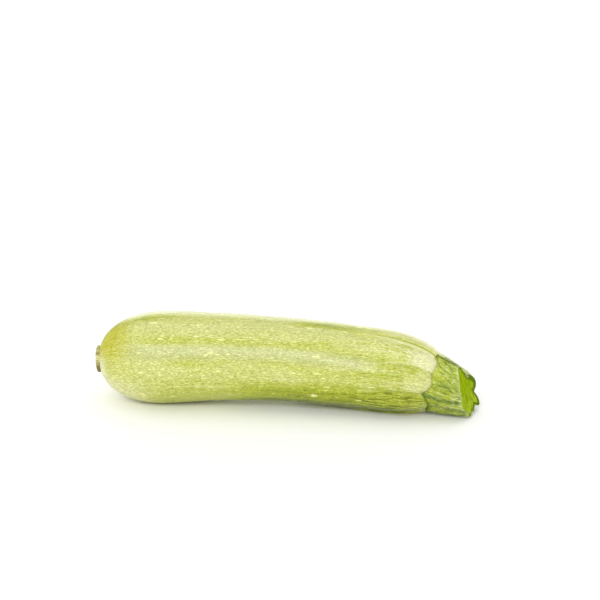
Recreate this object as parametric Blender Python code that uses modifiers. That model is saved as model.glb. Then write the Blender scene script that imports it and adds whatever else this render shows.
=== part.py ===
"""A pale green zucchini lying on its side: the fruit, its ribbed stalk with a cut end, and the flower's scar.

The fruit runs along +X, from the corky scar at -X to the stalk at +X. +Z is up and -Y is the front. The
origin is on the surface that the fruit lies on, under the middle of the whole.

A station is a distance along the fruit's axis from where its blossom end would close, if it had no flat tip.
An angle goes round the axis: 0 is the back, 90 the top, 180 the front and 270 the underside. All lengths
are in metres.
"""

import bpy
import numpy as np
from mathutils import Vector

MM = 0.001
GAP = 0.3 * MM  # left between pieces that grew on each other

# Where the axis runs: it arches a little over the surface and bends down and forward at the stalk.
AXIS_STATIONS = MM * np.array([0, 30, 60, 90, 120, 140, 152, 172])
AXIS_Y = MM * np.array([-2.9, -0.3, 1.6, 2.8, 2.8, 1.5, 0.1, -3.2])
AXIS_Z = MM * np.array([19.4, 20.8, 21.7, 20.9, 18.7, 16.5, 14.4, 11.4])
MIDDLE_STATION = 84.85 * MM  # the station over the origin
MIDDLE_Y = 0.22 * MM

# The fruit: a blunt bulb at the blossom end, a slimmer neck, and a dome that the stalk covers.
GIRTH_STATIONS = MM * np.array([0, 30, 55, 80, 105, 130, 157])
GIRTH_RADII = MM * np.array([20.0, 20.7, 19.7, 18.8, 18.6, 18.1, 18.2])
BULB_LENGTH, BULB_FULLNESS = 29.5 * MM, 2.3
TIP_STATION = 1.1 * MM  # the flat tip
SHOULDER_LENGTH, SHOULDER_FULLNESS = 33.4 * MM, 2.45
SHOULDER_POLE = 157 * MM
FLAT_DEPTH = 0.45 * MM  # how much the surface under it has flattened the fruit

# Soft lobes on the shoulder, one between each two ridges of the stalk.
LOBE_HEIGHT = 0.7 * MM
LOBE_START, LOBE_FULL = 90 * MM, 146 * MM

# The stalk's ridges, from the top and round by the front. Each row has the ridge's angle on the fruit, its
# angle at the cut, how far its point runs down the shoulder, how far its crest stands out at the cut, and
# how far the hollow after it does.
RIDGES = np.array(
    [
        (98, 105, 2.0, 11.7, 8.5),
        (143.5, 160, 0.9, 7.9, 7.8),
        (185.5, 210, 3.2, 10.8, 9.4),
        (243, 251, 1.2, 11.1, 8.9),
        (268, 280, 1.2, 9.8, 8.9),
        (300, 320, 3.4, 13.3, 7.8),
        (345, 363, 2.6, 11.7, 9.9),
        (400, 420, 1.8, 9.3, 8.9),
    ]
)
COLLAR_STATION = 151.4 * MM  # where the stalk's skin starts between two ridges
COLLAR_EDGE = 0.7 * MM  # how far that edge stands off the fruit
RIDGE_EDGE = 0.4 * MM  # how much more the ridges stand off there
RIDGE_SHARPNESS = 1.7
COLLAR_SHARPNESS = 0.8

# The knife went through the stalk at a slant.
CUT_STATION = 165.6 * MM
CUT_YAW, CUT_PITCH = np.radians(18), np.radians(15)
CUT_CHAMFER = 0.35 * MM
CHAMFER_DEPTH = 0.7  # of its width
TORN_CHAMFER = 2.0 * MM  # the skin rolls over the edge of the cut at the back of the top
TORN_ANGLE, TORN_WIDTH = np.radians(58), np.radians(30)

# The corky disc that the flower left.
SCAR_RADIUS, SCAR_THICKNESS = 6.1 * MM, 1.7 * MM
SCAR_RIM, SCAR_DISH = 1.1 * MM, 0.6 * MM

FRUIT_AROUND, FRUIT_ALONG = 64, 46
DOME_CROWDING = 0.85  # how much closer the rings are at the ends than in the middle
STALK_AROUND, STALK_ALONG = 96, 11
SCAR_AROUND = 40


def smooth(x, places, values):
    """A cubic through each value at its place, with the slopes of its neighbours."""
    slopes = np.gradient(values, places)
    i = np.clip(np.searchsorted(places, x, side="right") - 1, 0, len(places) - 2)
    step = places[i + 1] - places[i]
    t = (x - places[i]) / step
    start = (2 * t**3 - 3 * t**2 + 1) * values[i] + (t**3 - 2 * t**2 + t) * step * slopes[i]
    end = (3 * t**2 - 2 * t**3) * values[i + 1] + (t**3 - t**2) * step * slopes[i + 1]
    return start + end


def dome(q, fullness):
    """1 at q = 0 and 0 at q = 1, along a superellipse."""
    return (1 - np.clip(q, 0, 1) ** fullness) ** (1 / fullness)


def ease(x, start, end):
    """0 before start, 1 after end, and an S curve between them."""
    t = np.clip((x - start) / (end - start), 0, 1)
    return t * t * (3 - 2 * t)


def axis_point(station):
    x = station - MIDDLE_STATION
    y = smooth(station, AXIS_STATIONS, AXIS_Y) - MIDDLE_Y
    z = smooth(station, AXIS_STATIONS, AXIS_Z) - FLAT_DEPTH
    return np.stack([x, y, z], axis=-1)


def axis_frame(station):
    """The axis's direction at a station, and the level and the upward direction across it."""
    along = axis_point(station + 0.1 * MM) - axis_point(station - 0.1 * MM)
    along /= np.linalg.norm(along, axis=-1, keepdims=True)
    side = np.cross([0.0, 0.0, 1.0], along)
    side /= np.linalg.norm(side, axis=-1, keepdims=True)
    return along, side, np.cross(along, side)


def around_axis(station, radius, angle):
    """The point at this radius and angle round the axis."""
    _, side, up = axis_frame(station)
    across = np.cos(angle)[..., None] * side + np.sin(angle)[..., None] * up
    return axis_point(station) + radius[..., None] * across


def ridge_count(angle):
    """How many ridges an angle on the fruit is past the first one, with the way between two as a fraction."""
    first = RIDGES[0, 0]
    places = np.append(RIDGES[:, 0], first + 360)
    return np.interp((np.degrees(angle) - first) % 360 + first, places, np.arange(len(places)))


def ridge_angle(count, column):
    """The angle of a ridge count, on the fruit (column 0) or at the cut (column 1)."""
    angles = np.append(RIDGES[:, column], RIDGES[0, column] + 360)
    return np.radians(np.interp(count, np.arange(len(angles)), angles))


def fruit_radius(station, angle):
    girth = smooth(station, GIRTH_STATIONS, GIRTH_RADII)
    bulb = dome((BULB_LENGTH - station) / BULB_LENGTH, BULB_FULLNESS)
    past_shoulder = (station - SHOULDER_POLE + SHOULDER_LENGTH) / SHOULDER_LENGTH
    shoulder = dome(past_shoulder, SHOULDER_FULLNESS)
    lobes = -np.cos(2 * np.pi * ridge_count(angle)) * ease(station, LOBE_START, LOBE_FULL)
    return (girth * bulb + LOBE_HEIGHT * lobes) * shoulder


def fruit_point(station, angle):
    return around_axis(station, fruit_radius(station, angle), angle)


def over_fruit(station, angle, height):
    """The point that stands this high over the fruit's skin, square to it."""
    step, turn = 0.05 * MM, 0.01
    point = fruit_point(station, angle)
    lengthwise = fruit_point(station + step, angle) - fruit_point(station - step, angle)
    crosswise = fruit_point(station, angle + turn) - fruit_point(station, angle - turn)
    normal = np.cross(crosswise, lengthwise)
    normal /= np.linalg.norm(normal, axis=-1, keepdims=True)
    return point + height[..., None] * normal


def fruit_rings():
    """Rings close together on both domes, where the fruit turns most."""
    angle = np.linspace(0, 2 * np.pi, FRUIT_AROUND, endpoint=False)
    way = np.linspace(0, 1, FRUIT_ALONG)
    crowded = way - DOME_CROWDING * np.sin(2 * np.pi * way) / (2 * np.pi)
    station = TIP_STATION + (SHOULDER_POLE - TIP_STATION) * crowded[:-1, None]
    points = fruit_point(station + 0 * angle, angle + 0 * station)
    points[..., 2] = np.maximum(points[..., 2], 0)
    return points


def collar_stations(count):
    """Where the stalk's skin starts: pointed down the shoulder at each ridge, and round between two."""
    reach = RIDGES[np.round(count).astype(int) % len(RIDGES), 2] * MM
    return COLLAR_STATION - reach * (1 - np.abs(np.sin(np.pi * count)) ** COLLAR_SHARPNESS)


def rim_radius(count):
    """How far the rim of the cut is from the axis: crests at the ridges, hollows between them."""
    crest = RIDGES[np.round(count).astype(int) % len(RIDGES), 3]
    hollow = RIDGES[np.floor(count).astype(int) % len(RIDGES), 4]
    return MM * (hollow + (crest - hollow) * np.abs(np.cos(np.pi * count)) ** RIDGE_SHARPNESS)


def cut_station(radius, angle):
    """The station at which this radius and angle meet the plane of the cut, found by sliding along."""
    normal = np.array(
        [
            np.cos(CUT_PITCH) * np.cos(CUT_YAW),
            -np.cos(CUT_PITCH) * np.sin(CUT_YAW),
            np.sin(CUT_PITCH),
        ]
    )
    centre = axis_point(np.array(CUT_STATION))
    station = np.full_like(radius, CUT_STATION)
    for _ in range(6):
        along, _, _ = axis_frame(station)
        short = (centre - around_axis(station, radius, angle)) @ normal
        station = station + short / (along @ normal)
    return station


def stalk_rings():
    """From under the stalk's middle out to its collar, up its wall to the cut, and in over the rim."""
    count = np.arange(STALK_AROUND) * len(RIDGES) / STALK_AROUND
    low_angle, high_angle = ridge_angle(count, 0), ridge_angle(count, 1)
    collar = collar_stations(count)
    edge = COLLAR_EDGE + RIDGE_EDGE * np.abs(np.cos(np.pi * count)) ** RIDGE_SHARPNESS

    rings = []
    for part in (0.25, 0.5, 0.75, 1.0):
        station = SHOULDER_POLE - (SHOULDER_POLE - collar) * part**SHOULDER_FULLNESS
        rings.append(over_fruit(station, low_angle, GAP + 0 * station))
    rings.append(over_fruit(collar, low_angle, edge))

    base = fruit_radius(collar, low_angle) + edge
    rim = rim_radius(count)
    torn = np.exp(-(((high_angle % (2 * np.pi)) - TORN_ANGLE) / TORN_WIDTH) ** 2)
    chamfer = CUT_CHAMFER + TORN_CHAMFER * torn
    top = cut_station(rim, high_angle) - CHAMFER_DEPTH * chamfer
    for part in np.linspace(0, 1, STALK_ALONG)[1:]:
        radius = base + (rim - base) * part
        angle = low_angle + (high_angle - low_angle) * part
        rings.append(around_axis(collar + (top - collar) * part, radius, angle))
    rings.append(around_axis(cut_station(rim - chamfer, high_angle), rim - chamfer, high_angle))
    return np.array(rings)


def material(name, colour, roughness):
    made = bpy.data.materials.new(name)
    made.use_nodes = True
    shader = made.node_tree.nodes["Principled BSDF"]
    shader.inputs["Base Color"].default_value = (*colour, 1.0)
    shader.inputs["Roughness"].default_value = roughness
    shader.inputs["Metallic"].default_value = 0.0
    made.diffuse_color = (*colour, 1.0)
    return made


def add_piece(name, mesh, finish, collection, parent):
    piece = bpy.data.objects.new(name, mesh)
    mesh.materials.append(finish)
    collection.objects.link(piece)
    piece.parent = parent
    return piece


def loft(name, rings, first_pole=None, last_pole=None):
    """A closed skin through rings of points. An end is a fan round its pole, or else one flat face."""
    rows, around = rings.shape[:2]
    here = np.arange(around)
    following = np.roll(here, -1)
    points = list(map(tuple, rings.reshape(-1, 3)))
    faces = []
    for row in range(rows - 1):
        low, high = row * around, (row + 1) * around
        faces += [(low + a, low + b, high + b, high + a) for a, b in zip(here, following)]
    last = (rows - 1) * around
    if first_pole is None:
        faces.append(tuple(here[::-1]))
    else:
        faces += [(len(points), b, a) for a, b in zip(here, following)]
        points.append(tuple(first_pole))
    if last_pole is None:
        faces.append(tuple(last + here))
    else:
        faces += [(len(points), last + a, last + b) for a, b in zip(here, following)]
        points.append(tuple(last_pole))
    mesh = bpy.data.meshes.new(name)
    mesh.from_pydata(points, [], [tuple(map(int, face)) for face in faces])
    mesh.shade_smooth()
    mesh.set_sharp_from_angle(angle=np.radians(50))
    return mesh


def build_fruit(collection, parent):
    pole = axis_point(np.array(SHOULDER_POLE))
    mesh = loft("fruit", fruit_rings(), last_pole=pole)
    skin = material("pale green skin", (0.56, 0.66, 0.28), 0.38)
    add_piece("fruit", mesh, skin, collection, parent)


def build_stalk(collection, parent):
    along, _, _ = axis_frame(np.array(SHOULDER_POLE))
    pole = axis_point(np.array(SHOULDER_POLE)) + GAP * along
    mesh = loft("stalk", stalk_rings(), first_pole=pole)
    skin = material("dark green stalk", (0.16, 0.27, 0.06), 0.6)
    add_piece("stalk", mesh, skin, collection, parent)


def build_scar(collection, parent):
    """A turned disc: dished in the middle, a round rim, and a flat back against the fruit's tip."""
    profile = [
        (0, SCAR_THICKNESS - SCAR_DISH),
        (SCAR_RADIUS - 2 * SCAR_RIM, SCAR_THICKNESS - SCAR_DISH),
        (SCAR_RADIUS - SCAR_RIM, SCAR_THICKNESS),
        (SCAR_RADIUS - 0.4 * SCAR_RIM, SCAR_THICKNESS - 0.1 * SCAR_RIM),
        (SCAR_RADIUS, SCAR_THICKNESS - 0.6 * SCAR_RIM),
        (SCAR_RADIUS - 0.3 * SCAR_RIM, 0),
        (0, 0),
    ]
    mesh = bpy.data.meshes.new("blossom_scar")
    points = [(radius, 0, height) for radius, height in profile]
    mesh.from_pydata(points, [(i, i + 1) for i in range(len(points) - 1)], [])
    cork = material("brown cork", (0.27, 0.21, 0.09), 0.85)
    piece = add_piece("blossom_scar", mesh, cork, collection, parent)

    along, _, _ = axis_frame(np.array(TIP_STATION))
    piece.location = axis_point(np.array(TIP_STATION)) - GAP * along
    piece.rotation_euler = Vector(-along).to_track_quat("Z", "Y").to_euler()
    turn = piece.modifiers.new("turn", "SCREW")
    turn.axis = "Z"
    turn.steps = turn.render_steps = SCAR_AROUND
    turn.use_merge_vertices = True
    turn.merge_threshold = 0.0001
    turn.use_smooth_shade = True


def main():
    for left in list(bpy.data.objects):
        bpy.data.objects.remove(left, do_unlink=True)
    collection = bpy.data.collections.new("zucchini")
    bpy.context.scene.collection.children.link(collection)
    parent = bpy.data.objects.new("zucchini", None)
    collection.objects.link(parent)
    build_fruit(collection, parent)
    build_stalk(collection, parent)
    build_scar(collection, parent)


main()
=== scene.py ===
# %% [markdown]
# # A pale green zucchini
#
# The real thing is a young fruit of the pale, blunt kind, picked with a piece of its ribbed stalk. It is
# three tissues grown on each other: a fleshy fruit in a thin waxy skin, a tough bristly stalk, and the
# corky disc that the flower left. The frame holds each of them as a plain solid. Here each gets a finer
# surface of the same form, worked out from the same few dimensions, and then a finish of its own.

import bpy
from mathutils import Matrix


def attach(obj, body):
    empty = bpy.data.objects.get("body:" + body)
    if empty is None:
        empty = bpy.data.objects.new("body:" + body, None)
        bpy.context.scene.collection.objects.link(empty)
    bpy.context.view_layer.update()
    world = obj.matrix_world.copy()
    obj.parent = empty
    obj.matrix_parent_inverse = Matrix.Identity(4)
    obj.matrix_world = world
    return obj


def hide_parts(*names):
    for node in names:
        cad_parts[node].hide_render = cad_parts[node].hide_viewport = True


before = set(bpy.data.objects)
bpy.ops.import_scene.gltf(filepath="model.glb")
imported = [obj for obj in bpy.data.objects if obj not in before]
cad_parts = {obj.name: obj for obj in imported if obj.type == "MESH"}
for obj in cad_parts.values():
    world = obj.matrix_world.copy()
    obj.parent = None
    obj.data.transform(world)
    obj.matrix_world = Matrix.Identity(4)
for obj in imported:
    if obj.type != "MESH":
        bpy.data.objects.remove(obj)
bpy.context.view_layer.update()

import bpy
import numpy as np
from mathutils import Vector

MM = 0.001
TURN = 2 * np.pi


def smooth(x, places, values):
    """A cubic through each value at its place, with the slopes of its neighbours."""
    slopes = np.gradient(values, places)
    i = np.clip(np.searchsorted(places, x, side="right") - 1, 0, len(places) - 2)
    step = places[i + 1] - places[i]
    t = (x - places[i]) / step
    start = (2 * t**3 - 3 * t**2 + 1) * values[i] + (t**3 - 2 * t**2 + t) * step * slopes[i]
    end = (3 * t**2 - 2 * t**3) * values[i + 1] + (t**3 - t**2) * step * slopes[i + 1]
    return start + end


def dome(q, fullness):
    """1 at q = 0 and 0 at q = 1, along a superellipse: (1 - q to the fullness) to one over the fullness."""
    return (1 - np.clip(q, 0, 1) ** fullness) ** (1 / fullness)


def ease(x, start, end):
    """0 before start, 1 after end, and 3 t squared - 2 t cubed between them."""
    t = np.clip((x - start) / (end - start), 0, 1)
    return t * t * (3 - 2 * t)


def come_and_go(x, start, full, fade, gone):
    """0 before start, 1 from full to fade, and 0 again after gone."""
    return ease(x, start, full) * (1 - ease(x, fade, gone))


def apart(angle, other):
    """The shorter way between two angles."""
    return np.abs((angle - other + np.pi) % TURN - np.pi)


def bell(angle, middle, width, power):
    """1 at the middle angle, falling to both sides: e to minus ((the way there / width) to the power)."""
    return np.exp(-((apart(angle, middle) / width) ** power))


def unit(vectors):
    """Each vector over its own length."""
    return vectors / np.linalg.norm(vectors, axis=-1, keepdims=True)


def ripples(points, size, seed, count=24):
    """Soft noise of about -1 to 1: a sum of cosines along random directions, each about one size long."""
    rng = np.random.default_rng(seed)
    waves = unit(rng.normal(size=(count, 3))) * TURN / size * rng.uniform(0.6, 1.5, (count, 1))
    return np.cos(points @ waves.T + rng.uniform(0, TURN, count)).sum(-1) * np.sqrt(2 / count) / 2


print("an ease at a quarter, half and three quarters:", ease(np.array([0.25, 0.5, 0.75]), 0, 1))

# %% [markdown]
# ## The axis and the girth
#
# A zucchini is a tube of changing girth round a bent axis. It arches a little over the table and nods at
# the stalk. A station is a distance along the axis from the blossom end, and an angle goes round it: 0 is
# the back, 90 the top, 180 the front and 270 the underside. Sculpting would give the same form, but a
# formula of station and angle also says where every stripe and rib belongs.

# %% Axis
# Stations along the fruit, and how far back and how high the axis is at each.
AXIS_STATIONS = MM * np.array([0, 30, 60, 90, 120, 140, 152, 172])
AXIS_Y = MM * np.array([-2.9, -0.3, 1.6, 2.8, 2.8, 1.5, 0.1, -3.2])
AXIS_Z = MM * np.array([19.4, 20.8, 21.7, 20.9, 18.7, 16.5, 14.4, 11.4])
MIDDLE_STATION = 84.85 * MM  # the station over the origin
MIDDLE_Y = 0.22 * MM  # and how far the whole is moved sideways to be centred
FLAT_DEPTH = 0.45 * MM  # how much the fruit's weight has flattened it
AXIS_STEP = 0.1 * MM  # the axis's direction is taken over this much on each side


def axis_point(station):
    """A cubic through the axis's places, moved so that the middle station is over the origin."""
    x = station - MIDDLE_STATION
    y = smooth(station, AXIS_STATIONS, AXIS_Y) - MIDDLE_Y
    z = smooth(station, AXIS_STATIONS, AXIS_Z) - FLAT_DEPTH
    return np.stack([x, y, z], axis=-1)


def axis_frame(station):
    """The axis's direction at a station, and the level and the upward direction across it."""
    along = unit(axis_point(station + AXIS_STEP) - axis_point(station - AXIS_STEP))
    side = unit(np.cross([0.0, 0.0, 1.0], along))
    return along, side, np.cross(along, side)


def around_axis(station, radius, angle):
    """The axis's point + radius * (cos(angle) * side + sin(angle) * up)."""
    _, side, up = axis_frame(station)
    across = np.cos(angle)[..., None] * side + np.sin(angle)[..., None] * up
    return axis_point(station) + radius[..., None] * across


print("the axis is highest at", axis_point(AXIS_STATIONS)[:, 2].max() / MM, "mm")

# %% Ridges of the stalk
# From the top and round by the front: angle on the fruit, angle at the cut, how far the point runs down the
# shoulder, how far the crest stands out at the cut, and how far the hollow after it does.
RIDGES = np.array(
    [
        (98, 105, 2.0, 11.7, 8.5),
        (143.5, 160, 0.9, 7.9, 7.8),
        (185.5, 210, 3.2, 10.8, 9.4),
        (243, 251, 1.2, 11.1, 8.9),
        (268, 280, 1.2, 9.8, 8.9),
        (300, 320, 3.4, 13.3, 7.8),
        (345, 363, 2.6, 11.7, 9.9),
        (400, 420, 1.8, 9.3, 8.9),
    ]
)


def ridge_count(angle):
    """How many ridges past the first an angle on the fruit is, the way between two being a fraction."""
    first = RIDGES[0, 0]
    places = np.append(RIDGES[:, 0], first + 360)
    return np.interp((np.degrees(angle) - first) % 360 + first, places, np.arange(len(places)))


def ridge_angle(count, column):
    """The angle of a ridge count, on the fruit (column 0) or at the cut (column 1)."""
    angles = np.append(RIDGES[:, column], RIDGES[0, column] + 360)
    return np.radians(np.interp(count, np.arange(len(angles)), angles))


print("ridges:", len(RIDGES))

# %% Girth
# The radius at stations along the fruit, and how long and how full the rounding at each end is.
GIRTH_STATIONS = MM * np.array([0, 30, 55, 80, 105, 130, 157])
GIRTH_RADII = MM * np.array([20.0, 20.7, 19.7, 18.8, 18.6, 18.1, 18.2])
BULB_LENGTH, BULB_FULLNESS = 29.5 * MM, 2.3
TIP_STATION = 1.1 * MM  # the flat tip
SHOULDER_LENGTH, SHOULDER_FULLNESS = 33.4 * MM, 2.45
SHOULDER_POLE = 157 * MM
LOBE_HEIGHT = 0.7 * MM  # soft lobes on the shoulder, one between each two ridges of the stalk
LOBE_START, LOBE_FULL = 90 * MM, 146 * MM


def fruit_radius(station, angle):
    """Girth times the bulb's dome, plus the lobes, times the shoulder's dome."""
    girth = smooth(station, GIRTH_STATIONS, GIRTH_RADII)
    bulb = dome((BULB_LENGTH - station) / BULB_LENGTH, BULB_FULLNESS)
    past_shoulder = (station - SHOULDER_POLE + SHOULDER_LENGTH) / SHOULDER_LENGTH
    shoulder = dome(past_shoulder, SHOULDER_FULLNESS)
    lobes = -np.cos(TURN * ridge_count(angle)) * ease(station, LOBE_START, LOBE_FULL)
    return (girth * bulb + LOBE_HEIGHT * lobes) * shoulder


print("widest girth:", 2 * GIRTH_RADII.max() / MM, "mm across")

# %% [markdown]
# ## Where the colour grew
#
# Each ridge of the stalk is a bundle of veins, and a greener stripe runs on from it down the fruit. The
# stripes drift a little to one side as they go. A few of them are partly or wholly painted shade instead:
# the darker lower flank, a dark line under the pale top edge, and a painted olive reflection on top of the
# neck. The lobes between them end in cream patches under the stalk. The blossom end is a warmer yellow
# green on top, and painted light from the white floor makes it creamy below. A duller, greyer lane is
# painted along the front under the softbox's highlight, as part of a painted highlight, and a yellower one
# follows the top ridge. The larger cream dashes stand in rows of their own. Each of these is a mask, 0
# where there is none of it and about 1 where it is strongest, from the same station and angle as the
# form, so a stripe always meets its ridge.

# %% Green stripes
STRIPE_DRIFT = np.radians(12)  # how far the stripes turn from the stalk to the middle of the fruit
DRIFT_START, DRIFT_END = 75 * MM, 150 * MM

# Each stripe's angle at the stalk, half its width, how green it is, and the stations in mm where it starts,
# is full, starts to fade and is gone.
STRIPES = (
    # Partly the top ridge's own stripe, and partly a painted olive reflection along the top of the neck.
    (88, 9, 0.65, 84, 96, 112, 130),
    # The next two are painted shade: a dark line under the pale top edge, and a darker top on the blossom
    # end.
    (90, 6, 0.45, 3, 6, 22, 48),
    (85, 17, 0.75, 1, 3, 9, 16),
    (130, 6, 0.24, 12, 35, 100, 118),
    (157, 6, 0.18, 25, 45, 90, 110),
    (138, 6, 0.36, 90, 112, 126, 134),
    (147, 5, 0.50, 122, 133, 139, 145),
    (161, 8, 0.40, 122, 133, 137, 142),
    (160, 12, 0.20, 136, 141, 148, 152),
    (168, 8, 0.18, 80, 100, 130, 142),
    (180, 7, 0.30, 116, 128, 138, 143),
    (194, 7, 0.82, 112, 130, 142, 150),
    (181, 4, 0.12, 20, 50, 126, 138),
    (207, 25, 0.72, 34, 94, 150, 156),
    # Partly the lower flank's own green, and partly painted shade along it.
    (231, 20, 1.10, 30, 90, 146, 152),
    (217, 34, 0.30, 6, 45, 60, 100),
    (250, 9, 0.50, 30, 70, 140, 149),
    (272, 12, 0.80, 50, 95, 142, 149),
    (304, 9, 0.75, 40, 75, 142, 149),
    (328, 5, 0.30, 15, 40, 90, 120),
    (349, 11, 0.80, 50, 85, 142, 149),
    (376, 5, 0.35, 25, 50, 110, 135),
    (404, 10, 0.75, 45, 80, 142, 149),
    (428, 6, 0.35, 20, 45, 100, 125),
)


def grown_angle(station, angle):
    """The angle at which the tissue here meets the stalk: the angle, less the drift of the stripes."""
    return angle - STRIPE_DRIFT * (1 - ease(station, DRIFT_START, DRIFT_END))


def greenness(station, grown):
    """The strongest of the stripes, each a bell across its width that comes and goes along the fruit."""
    green = np.zeros_like(grown)
    for middle, width, strength, *stations in STRIPES:
        across = bell(grown, np.radians(middle), np.radians(width), 3)
        length = come_and_go(station / MM, *stations)
        green = np.maximum(green, strength * across * length)
    return green


print("stripes:", len(STRIPES))

# %% Cream patches, and painted light at the blossom end
# How creamy the patch after each ridge is, from the top and round by the front.
PATCHES = np.array([1.0, 0.3, 0.1, 0.8, 0.4, 0.9, 0.5, 0.4])
PATCH_WAY = (0.24, 0.5, 0.86, 0.98)  # between two ridges: it starts, is full, starts to fade and is gone
PATCH_START, PATCH_FULL = 136 * MM, 146 * MM

# At the blossom end, two patches of painted light from the white floor, a long one low down and a short
# one next to the scar: angle, half the width, how creamy, and the stations in mm where it starts to fade
# and is gone.
END_FLOOR_LIGHT = ((213, 26, 0.55, 7, 30), (184, 42, 0.8, 2, 6))


def cream_and_light_patches(station, grown):
    """A patch at the stalk's end of each lobe, nearer to the next ridge, and the two patches of painted
    light from the white floor at the blossom end.
    """
    count = ridge_count(grown)
    cream_and_light = PATCHES[np.floor(count).astype(int) % len(PATCHES)]
    cream_and_light = cream_and_light * come_and_go(count % 1, *PATCH_WAY) * ease(station, PATCH_START, PATCH_FULL)
    for middle, width, strength, fade, gone in END_FLOOR_LIGHT:
        across = bell(grown, np.radians(middle), np.radians(width), 4)
        cream_and_light = np.maximum(cream_and_light, strength * across * (1 - ease(station / MM, fade, gone)))
    return cream_and_light


print("cream patches:", len(PATCHES) + len(END_FLOOR_LIGHT))

# %% The ripe end and the lanes
RIPE_ANGLE, RIPE_WIDTH = np.radians(126), np.radians(38)
RIPE_START, RIPE_END = 8 * MM, 21 * MM
RIPE_BEHIND = 0.15  # how ripe the far side of the end is
# A duller, greyer lane painted under the softbox's highlight, part of a painted highlight.
HIGHLIGHT_TINT_ANGLE, HIGHLIGHT_TINT_WIDTH = np.radians(155), np.radians(10)
HIGHLIGHT_TINT_STATIONS = MM * np.array([8, 20, 116, 130])  # it starts, is full, starts to fade and is gone
LANE_ANGLE, LANE_WIDTH = np.radians(99), np.radians(9)
LANE_START, LANE_FULL = 104 * MM, 122 * MM


def ripeness(station, angle):
    """The warm yellow green round the blossom scar, strongest on one side."""
    side = RIPE_BEHIND + (1 - RIPE_BEHIND) * bell(angle, RIPE_ANGLE, RIPE_WIDTH, 3)
    return side * (1 - ease(station, RIPE_START, RIPE_END))


def highlight_tint(station, angle):
    """A duller, greyer lane painted under the softbox's highlight, part of a painted highlight: flat-topped
    across, with soft ends along the fruit.
    """
    return bell(angle, HIGHLIGHT_TINT_ANGLE, HIGHLIGHT_TINT_WIDTH, 4) * come_and_go(station, *HIGHLIGHT_TINT_STATIONS)


def yellow_lane(station, grown):
    """A lane along the top ridge's line, that comes in on the neck and runs on to the stalk."""
    return bell(grown, LANE_ANGLE, LANE_WIDTH, 4) * ease(station, LANE_START, LANE_FULL)


print("the ripe end reaches to station", RIPE_END / MM, "mm")

# %% Rows of dashes
# Each row's angle at the stalk, from the top and round by the front, and how full it is.
ROW_ANGLES = (101, 126, 145, 170, 188, 203, 228, 250, 274, 297, 320, 344, 368, 393, 416, 438)
ROW_FULLNESS = (1.0, 0.9, 0.6, 0.8, 0.5, 1.0, 0.6, 0.7, 0.6, 0.8, 0.6, 0.8, 0.6, 0.7, 0.6, 0.8)
ROW_WIDTH = np.radians(5)
ROW_STATIONS = MM * np.array([8, 14, 112, 132])  # they start, are full, start to fade and are gone


def dash_rows(station, grown):
    """The fullest of the rows, each flat-topped across, that fade out at both ends of the fruit."""
    rows = np.zeros_like(grown)
    for middle, fullness in zip(ROW_ANGLES, ROW_FULLNESS):
        rows = np.maximum(rows, fullness * bell(grown, np.radians(middle), ROW_WIDTH, 4))
    return rows * come_and_go(station, *ROW_STATIONS)


print("rows of dashes:", len(ROW_ANGLES))

# %% Grooves
GROOVE_WIDTH = np.radians(1.9)
GROOVE_STRENGTHS = np.array([1.0, 0.3, 0.7, 0.7, 0.5, 0.7, 0.6, 0.7])  # from the top and round by the front
GROOVE_START, GROOVE_FULL = 102 * MM, 140 * MM


def grooves(station, grown):
    """A thin line that runs on from each ridge of the stalk and fades down the fruit."""
    nearest = np.round(ridge_count(grown))
    strength = GROOVE_STRENGTHS[nearest.astype(int) % len(RIDGES)]
    line = strength * bell(grown, ridge_angle(nearest, 0), GROOVE_WIDTH, 2)
    return line * ease(station, GROOVE_START, GROOVE_FULL)


print("a groove is", 2 * GROOVE_WIDTH * GIRTH_RADII[-1] / MM, "mm wide")

# %% [markdown]
# ## The fruit's surface
#
# The solid in the frame has facets of a few millimetres. The finer surface is a grid of rings, evenly
# spaced over the skin, with what the eye reads as grown and not turned: faint dents and swellings, and the
# grooves that run on from the ridges. A second grid of coordinates is the fruit straightened out, in
# millimetres along and around, so that every pattern below stretches the way the fruit grew, with no seam.

# %% Rings evenly over the skin
FRUIT_AROUND, FRUIT_ALONG = 256, 370
PROFILE_STEPS = 4000  # for measuring the profile's length


def even_stations(count):
    """Stations spaced evenly over the skin, by equal steps of the profile's length from tip to pole."""
    crowded = np.linspace(1, 0, PROFILE_STEPS) ** 2
    dense = SHOULDER_POLE - (SHOULDER_POLE - TIP_STATION) * crowded
    radius = fruit_radius(dense, np.full_like(dense, np.pi))
    length = np.append(0, np.cumsum(np.hypot(np.diff(dense), np.diff(radius))))
    places = np.linspace(0, length[-1], count)
    return np.interp(places, length, dense), places


print("rings are", even_stations(FRUIT_ALONG)[1][1] / MM, "mm apart on the skin")

# %% The fruit's grid
# Grooves and swellings reach their full size at a radius of this much, and fade towards the poles.
GROOVE_DEPTH, GROOVE_RADIUS = 0.24 * MM, 12 * MM
SWELLING, SWELLING_SIZE, SWELLING_RADIUS = 0.12 * MM, 26 * MM, 15 * MM
STRIPE_WAVER, WAVER_SIZE = 0.8 * MM, 4 * MM  # how far a stripe's edges wander, and how soon they turn back
WAVER_DRAW = np.array([0.3, 1, 1])  # they wander more slowly along the fruit
WAVER_RADIUS = 5 * MM  # and nearer to the axis than this, by no wider an angle
NECK_START, NECK_END = 100 * MM, 138 * MM  # where the streaks crowd together
STRAIGHT_RADIUS = 19.0  # of the straightened fruit, in mm


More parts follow.
